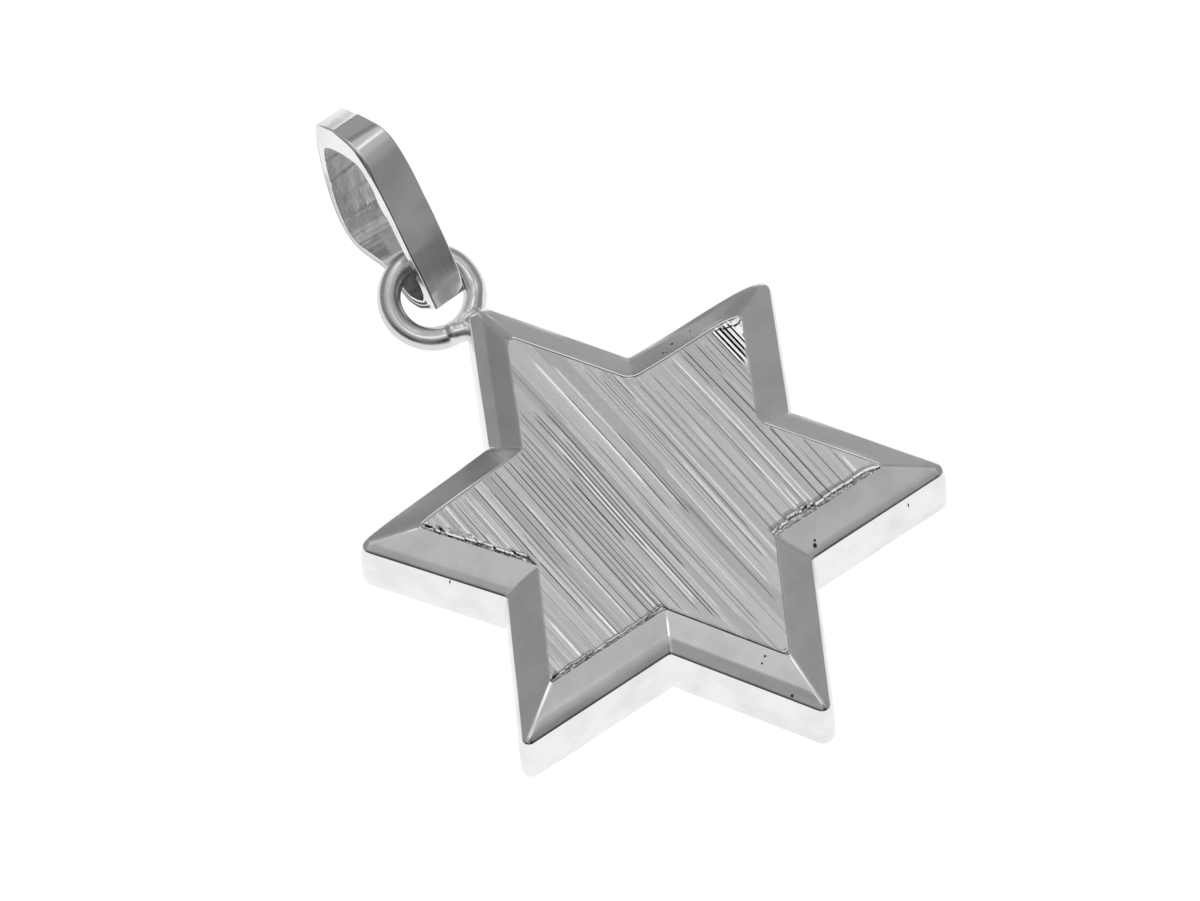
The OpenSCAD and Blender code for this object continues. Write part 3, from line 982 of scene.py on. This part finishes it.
def ball(centre, radius, seed):
    """A round lump: a sphere's grid whose radius swells and shrinks by slow waves in the angles."""
    rng = np.random.default_rng(seed)
    shift = rng.uniform(0, 6.28, 3)
    up, around = np.meshgrid(np.linspace(0, math.pi, 25)[1:-1],
                             np.linspace(0, 2 * math.pi, 32, endpoint=False), indexing="ij")
    waves = np.sin(3 * around + shift[0]) * np.sin(up) ** 2 + np.cos(4 * up + shift[1] + around)
    size = radius * (1 + solder_waves * waves)
    shell = np.stack([size * np.sin(up) * np.cos(around), size * np.sin(up) * np.sin(around),
                      size * np.cos(up)], -1).reshape(-1, 3)
    points = np.concatenate([shell, [[0, 0, radius], [0, 0, -radius]]]) + centre
    n = len(shell)
    faces = (tube_faces(23, 32)[:, ::-1].tolist() + fan_faces(n, 0, 32, True).tolist()
             + fan_faces(n + 1, n - 32, 32, False).tolist())
    return points, faces


def turn_about(axis, angle):
    """The matrix that turns points by an angle about X, Y or Z, given as 0, 1 or 2."""
    i, j = (axis + 1) % 3, (axis + 2) % 3
    matrix = np.eye(3)
    matrix[i, i] = matrix[j, j] = math.cos(angle)
    matrix[j, i] = math.sin(angle)
    matrix[i, j] = -matrix[j, i]
    return matrix


def hoop_faces(rings, around):
    """Quads over a grid of points that closes on itself both ways, as round a ring."""
    k, i = np.meshgrid(np.arange(rings), np.arange(around), indexing="ij")
    k2, j = (k + 1) % rings, (i + 1) % around
    corners = [k * around + i, k2 * around + i, k2 * around + j, k * around + j]
    return np.stack(corners, -1).reshape(-1, 4)


def make_ring():
    """The ring's wire: a circle carried round the ring's circle, slightly uneven by sine waves,
    dented by the pliers on one side and rubbed thin where the bail lies, each by a bell curve, and
    then tilted and moved to its place. It and the solder are fused by remeshing and smoothed."""
    a, b = np.meshgrid(np.linspace(0, 2 * math.pi, ring_steps, endpoint=False),
                       np.linspace(0, 2 * math.pi, wire_steps, endpoint=False), indexing="ij")
    uneven = wire_waves[0] * np.sin(5 * a + 1) + wire_waves[1] * np.sin(3 * b + 2 * a)
    dented = dent_depth * np.exp(-((a - 1.45) / 0.5) ** 2)
    dented = dented * np.sin(8 * a + 2 * b) * np.sin(b).clip(0)
    rubbed = rub_depth * np.exp(-((a - 1.645) / 0.35) ** 2 - ((b - 2.8) / 0.7) ** 2)
    thick = wire_r * (1 + uneven + dented - rubbed)
    flat = np.stack([
        (ring_r + thick * np.cos(b)) * np.cos(a),
        (ring_r + thick * np.cos(b)) * np.sin(a),
        thick * np.sin(b),
    ], -1).reshape(-1, 3)
    wire = flat @ turn_about(1, ring_tilt).T @ turn_about(2, ring_lean).T + ring_centre
    points, faces = [wire], hoop_faces(ring_steps, wire_steps).tolist()
    for seed, (x, y, z, radius) in enumerate(solder):
        base = sum(len(p) for p in points)
        more, more_faces = ball(np.array([x, y, z]), radius, seed)
        points.append(more)
        faces += [[base + k for k in f] for f in more_faces]
    piece = put_mesh("jump_ring", np.concatenate(points), faces)
    remesh = piece.modifiers.new("fuse", "REMESH")
    remesh.mode = "VOXEL"
    remesh.voxel_size = 0.04 * MM
    remesh.use_smooth_shade = True
    smooth = piece.modifiers.new("soften", "SMOOTH")
    smooth.factor = 0.5
    smooth.iterations = 10
    return piece


jump_ring = make_ring()
# The ring's silver is a darker copy of the polished silver; its lower pale is painted shade.
shaded_ring_silver = make_silver("shaded_ring_silver", roughness=0.17, dull_rough=0.07, pale=0.78)
jump_ring.data.materials.append(shaded_ring_silver)
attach(jump_ring, "root")
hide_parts("star_frame")


# Bail
# A closed loop of flat silver band, cast in one piece, polished outside with small chamfers and
# left rough inside. It links through the jump ring and is made for a neck chain to run through it.

# Place of its foot and its three turns, then the right chamfer, the distance from an edge to the
# first row beside it, steps from one row of the loop to the next, and a slight shrinking.
bail_foot = np.array([-0.87, 11.54, 1.86])
bail_lean = math.radians(35)
bail_roll = math.radians(3.3)
bail_turn = math.radians(4.6)
bail_chamfer = 0.03
bail_edge = 0.012
bail_steps = 12
bail_shrink = 0.996

# Relief of the outer face, and of the inner face, whose two ridges lie at these rows of the loop.
wave_h = 0.016
lump_h = 0.012
ridge_h = 0.05
ridge_w = 0.09
ridge_rows = 12.2, 13.3
rib_h = 0.012
rib_pitch = 0.15

# Painted shade and darkening on the left rim: painted dark lines, their pitch as a share of the
# thickness, and how much darker the rim is at the back. Then painted shade on the inner face, near
# the top and in the lower bend.
stripe_shade = 0.95
stripe_pitch = 0.35
back_rim_darkening = 0.3
top_shade = 0.35
bend_shade = 0.6

# Loop of the bail, from the lower end round by its front, seen from the left. Columns: distance
# up the bail and depth behind its front, of the outer face and of the inner face, the width, how
# sharply the loop bends there, from zero for a smooth curve to one for a crease, and the width of
# the chamfer on the left edge.
bail_loop = np.array([
    [-0.4, 1.1, 0.05, 0.98, 1.3, 0.3, 0.02],
    [-0.3, 0.45, 0.08, 0.55, 1.3, 0.3, 0.02],
    [-0.18, -0.17, 0.34, 0.31, 1.34, 1, 0.02],
    [0.87, -0.24, 0.9, 0.22, 1.42, 0, 0.02],
    [2.1, -0.14, 2.1, 0.28, 1.5, 0, 0.02],
    [3.35, -0.08, 3.3, 0.32, 1.54, 0, 0.02],
    [4.77, 0, 4.6, 0.41, 1.54, 0, 0.03],
    [5.9, 0.16, 5.45, 0.56, 1.46, 0, 0.12],
    [6.5, 0.52, 5.8, 0.93, 1.36, 0.2, 0.1],
    [6.965, 1.4, 6.02, 1.52, 1.2, 1, 0.04],
    [7.06, 2.5, 6.13, 2.28, 1.2, 0.7, 0.04],
    [6.38, 3.06, 6.02, 2.7, 1.26, 0.3, 0.06],
    [5.65, 3.44, 5.5, 3.05, 1.34, 0, 0.08],
    [4.8, 3.8, 4.66, 3.42, 1.44, 0, 0.08],
    [3.65, 4.17, 3.6, 3.8, 1.52, 0, 0.08],
    [2.7, 4.28, 2.74, 3.91, 1.52, 0, 0.08],
    [2, 4.1, 2.2, 3.77, 1.48, 0, 0.08],
    [1.58, 3.7, 1.88, 3.46, 1.44, 0, 0.08],
    [1.3, 3.06, 1.64, 2.9, 1.4, 0, 0.08],
    [1, 2.43, 1.32, 2.22, 1.36, 0, 0.06],
    [0.3, 2.05, 0.56, 1.74, 1.32, 0, 0.05],
    [-0.2, 1.7, 0.14, 1.38, 1.3, 0.3, 0.05],
])


def bent_loop(table, steps):
    """A closed curve through the rows of a table. Between two rows it is the cubic whose slope at
    each is half the difference of that row's neighbours where the loop is smooth, and the plain
    difference of the two rows where it has a crease. The steps lie closer near the rows."""
    t = np.arange(steps) / steps
    t = (t - 0.5 * np.sin(2 * math.pi * t) / (2 * math.pi))[None, :, None]
    before, here = np.roll(table, 1, 0)[:, None], table[:, None]
    after, next_after = np.roll(table, -1, 0)[:, None], np.roll(table, -2, 0)[:, None]
    straight = after - here
    leave = (after - before) / 2 * (1 - here[..., 5:6]) + straight * here[..., 5:6]
    reach = (next_after - here) / 2 * (1 - after[..., 5:6]) + straight * after[..., 5:6]
    curve = (here * (2 * t ** 3 - 3 * t ** 2 + 1) + leave * (t ** 3 - 2 * t ** 2 + t)
             + after * (3 * t ** 2 - 2 * t ** 3) + reach * (t ** 3 - t ** 2))
    return curve.reshape(-1, table.shape[1])


def make_bail():
    """The band's section carried round the loop: an outer face between two chamfers, two rims and
    a rough inner face. Each edge has close rows of points, so it stays crisp. The outer face keeps
    the slight waves and twist of hand polishing, and the inner face the lumps of the casting, two
    ridges across it near the top, and file marks along the band in the lower bend. Painted dark
    lines, a painted shade, run along the left rim there, higher up at the back that rim is a little
    darker, and painted shade darkens the inner face near the top and in the lower bend."""
    loop = bent_loop(bail_loop, bail_steps)
    outer, inner, width, left = loop[:, 1::-1], loop[:, 3:1:-1], loop[:, 4:5], loop[:, 6:7]
    inward = unit(inner - outer)
    thick = np.linalg.norm(inner - outer, axis=1, keepdims=True)
    e = bail_edge
    c = bail_chamfer
    # Columns: share of the width, plain distance added to it, distance in from the outer face,
    # share of the thickness added to that, one on the face that was left as cast, and shares of
    # the left chamfer added to the first and the second distance.
    section = np.array([
        [0.5, 0, 0, 0, 0, 0, 0],
        [0.25, 0, 0, 0, 0, 0, 0],
        [0, 4 * e, 0, 0, 0, 1, 0],
        [0, e, 0, 0, 0, 1, 0],
        [0, -e * 0.7, e * 0.5, 0, 0, 1, 0],
        [0, e * 0.5, -e * 0.7, 0, 0, 0, 0.8],
        [0, 0, e, 0, 0, 0, 0.8],
        [0, 0, 4 * e, 0, 0, 0, 0.8],
        *[[0, 0, 0, share, 0, 0, 0] for share in np.linspace(0.22, 0.82, 13)],
        [0, 0, -4 * e, 1, 0, 0, 0],
        [0, 0, -e, 1, 0, 0, 0],
        [0, e, 0, 1, 1, 0, 0],
        *[[share, 0, 0, 1, 1, 0, 0] for share in np.linspace(0.04, 0.96, 24)],
        [1, -e, 0, 1, 1, 0, 0],
        [1, 0, -e, 1, 0, 0, 0],
        [1, 0, c / 2, 0.5, 0, 0, 0],
        [1, 0, c + e, 0, 0, 0, 0],
        [1, -e * 0.7, c - e * 0.7, 0, 0, 0, 0],
        [1, -c + e * 0.7, e * 0.7, 0, 0, 0, 0],
        [1, -c - e, 0, 0, 0, 0, 0],
        [1, -c - 4 * e, 0, 0, 0, 0, 0],
        [0.75, 0, 0, 0, 0, 0, 0],
    ])
    n, m = len(section), len(loop)
    x = width * section[None, :, 0] + section[None, :, 1] + left * section[None, :, 5]
    into = section[None, :, 2] + thick * section[None, :, 3] + left * section[None, :, 6]
    row = np.arange(m)[:, None] / bail_steps
    polished = (section[None, :, 3] == 0) * 1.0
    as_cast = section[None, :, 4]
    into = into + wave_h * polished * (1 + np.sin(1.7 * row + 1.2 * x + 1.5)) / 2
    twist = np.interp(row, [2, 2.7, 4.0, 5.2, 6.5, 8.0, 9.0], [0, 0.07, 0.03, -0.05, 0, 0.03, 0])
    into = into - twist * polished * (x - width / 2)
    lumpy = np.sin(6.5 * row + 4 * x) * np.sin(4.9 * row - 7 * x + 1)
    ridge = np.exp(-((row - ridge_rows[0]) / ridge_w) ** 2)
    ridge = ridge + np.exp(-((row - ridge_rows[1] + 0.15 * x) / ridge_w) ** 2)
    low = np.clip(1.6 - np.minimum(np.abs(row), np.abs(row - 22)) * 0.8, 0, 1)
    rib = low * np.sin(2 * math.pi * x / rib_pitch)
    into = into + as_cast * (ridge_h * ridge + rib_h * rib - lump_h * (1 + lumpy))
    yz = outer[:, None] + inward[:, None] * into[..., None]
    local = np.concatenate([x[..., None], yz], 2).reshape(-1, 3) * bail_shrink
    turns = turn_about(0, -bail_lean), turn_about(1, bail_roll), turn_about(2, bail_turn)
    world = local @ turns[0].T @ turns[1].T @ turns[2].T + bail_foot
    piece = put_mesh("chain_bail", world, hoop_faces(m, n))
    even = piece.modifiers.new("even", "WEIGHTED_NORMAL")
    even.weight = 90
    put_attribute(piece, "As cast", (as_cast * between(row, 2.0, 17.5, 0.5)).ravel())

    # Grime and painted shade: painted dark lines and a darker stretch at the back on the left rim,
    # and painted shade on the face left as cast, darker near the top and darkest in the lower bend.
    left_rim = (section[:, 0] == 0) & (section[:, 3] > 0.2) & (section[:, 3] < 0.85)
    stripe = np.cos(2 * math.pi * (section[:, 3] - 0.32) / stripe_pitch) > -0.3
    bend = between((row + 2.4) % 22, 0, 4.1, 1 / 3)
    darkened = between(row, 12.6, 20.0, 0.5)
    top = between(row, 10.5, 15.0, 1)
    # Painted dark lines on the left rim in the lower bend, and the rim made darker at the back.
    grime_and_shade = left_rim[None] * (stripe_shade * stripe[None] * bend + back_rim_darkening * darkened)
    # Painted shade on the inner face near the top and in the lower bend.
    grime_and_shade = grime_and_shade + as_cast * (top_shade * top + bend_shade * bend)
    put_attribute(piece, "Grime and shade", grime_and_shade.ravel())
    return piece


chain_bail = make_bail()
chain_bail.data.materials.append(polished_silver)
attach(chain_bail, "root")
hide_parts("bail")


# Studio
# The pendant lies on a plain white light table in a grey studio, under one broad soft panel and
# some smaller lights and dark cards. A long lens looks down on it from the left.

# The camera's place in millimetres, its right and its up, and its focal length in pixels of a
# picture of this width.
camera_place = np.array([-65.77, -101.48, 191.63])
camera_right = np.array([0.8022, -0.595, -0.0491])
camera_up = np.array([0.5213, 0.658, 0.5434])
focal_px = 6600
picture_w = 1200
sensor_w = 36.0


def aim_camera():
    """The camera stands at its place with its own axes as the columns of its matrix: right, up
    and back, each at a right angle to the others."""
    right = unit(camera_right)
    up = unit(camera_up - right * (right @ camera_up))
    back = np.cross(right, up)
    lens = bpy.data.cameras.new("view")
    lens.sensor_width = sensor_w
    lens.lens = focal_px / picture_w * sensor_w
    lens.clip_start = 0.01
    camera = bpy.data.objects.new("view", lens)
    matrix = np.eye(4)
    matrix[:3, 0], matrix[:3, 1], matrix[:3, 2] = right, up, back
    matrix[:3, 3] = camera_place * MM
    camera.matrix_world = Matrix(matrix.tolist())
    bpy.context.scene.collection.objects.link(camera)
    bpy.context.scene.camera = camera


aim_camera()

# Half the table's side and its height under the back, its own grey, its glow on the pendant, and
# the white that the camera sees instead of it and, past its edges, instead of the studio.
table_half = 600.0
table_low = -0.01
table_grey = 0.15
table_glow = 0.90
table_white = 1.05
studio_white = 1.3


def make_table():
    """A plain square sheet a hair below the pendant's flat back, evenly lit from below, with a
    little diffuse white on top that takes a faint shadow. To the camera it is plain white."""
    corners = np.array([[-1, -1], [1, -1], [1, 1], [-1, 1]]) * table_half
    floor = put_mesh("light_table", np.insert(corners, 2, table_low, 1), [[0, 1, 2, 3]])
    material = bpy.data.materials.new("light_table")
    material.use_nodes = True
    shader = material.node_tree.nodes["Principled BSDF"]
    shader.inputs["Base Color"].default_value = (table_grey, table_grey, table_grey, 1.0)
    shader.inputs["Roughness"].default_value = 1.0
    shader.inputs["Specular IOR Level"].default_value = 0.0
    shader.inputs["Emission Color"].default_value = (1.0, 1.0, 1.0, 1.0)
    path = add_node(material.node_tree, "LightPath")
    glow = add_node(material.node_tree, "Mix", {0: path.outputs["Is Camera Ray"]},
                    data_type="FLOAT", value_2=table_glow, value_3=table_white)
    material.node_tree.links.new(glow.outputs[0], shader.inputs["Emission Strength"])
    floor.data.materials.append(material)


make_table()

# Soft lights and dark cards of the studio. Columns: direction towards it, how far from its middle
# it ends and where it is full, as cosines, and the light that it adds.
studio_lights = np.array([
    [0, 0, 1, 0.66, 0.82, 0.24],
    [-0.5, 0.02, 0.87, 0.75, 0.97, 0.1],
    [0.29, -0.69, 0.67, 0.95, 0.985, 0.11],
    [-0.72, -0.12, 0.69, 0.95, 0.99, 0.04],
    [0.29, 0.95, 0.1, 0.96, 0.985, -0.08],
    [-0.05, -0.93, 0.36, 0.88, 0.94, -0.18],
    [-0.93, -0.28, 0.25, 0.9, 0.97, -0.14],
    [0.47, -0.88, 0.08, 0.97, 0.995, 0.05],
    [0.29, 0.59, 0.75, 0.988, 0.997, -0.16],
    [-0.2, -0.25, 0.947, 0.985, 0.995, 0.85],
    [0.29, -0.02, 0.957, 0.99, 0.997, 0.65],
    [-0.12, 0.21, 0.97, 0.99, 0.997, 0.65],
    [-0.1, 0.46, 0.882, 0.985, 0.995, 0.7],
])
studio_grey = 0.27
studio_slant = 0.055


def make_sky():
    """The studio round the pendant: grey, a little lighter at the back and the right, with the
    soft lights and cards of the table above, each a smooth step in the angle from its middle, and
    plain white behind everything that the camera sees directly."""
    world = bpy.data.worlds.new("studio")
    world.use_nodes = True
    bpy.context.scene.world = world
    tree = world.node_tree
    shader = tree.nodes["Background"]
    sight = add_node(tree, "TexCoord").outputs["Generated"]
    slant = add_node(tree, "VectorMath", {0: sight}, operation="DOT_PRODUCT",
                     value_1=(studio_slant, studio_slant, 0.0))
    level = math_node(tree, "ADD", slant.outputs["Value"], studio_grey)
    for x, y, z, ends, full, light in studio_lights:
        toward = add_node(tree, "VectorMath", {0: sight}, operation="DOT_PRODUCT",
                          value_1=unit(np.array([x, y, z])))
        glow = range_node(tree, toward.outputs["Value"], ends, full, 0.0, light,
                          interpolation_type="SMOOTHSTEP")
        level = math_node(tree, "ADD", level, glow)
    path = add_node(tree, "LightPath")
    seen = add_node(tree, "Mix", {0: path.outputs["Is Camera Ray"], 2: level},
                    data_type="FLOAT", value_3=studio_white)
    tree.links.new(seen.outputs[0], shader.inputs["Strength"])
    shader.inputs["Color"].default_value = (1.0, 1.0, 1.0, 1.0)


make_sky()
bpy.context.scene.view_settings.view_transform = "Standard"
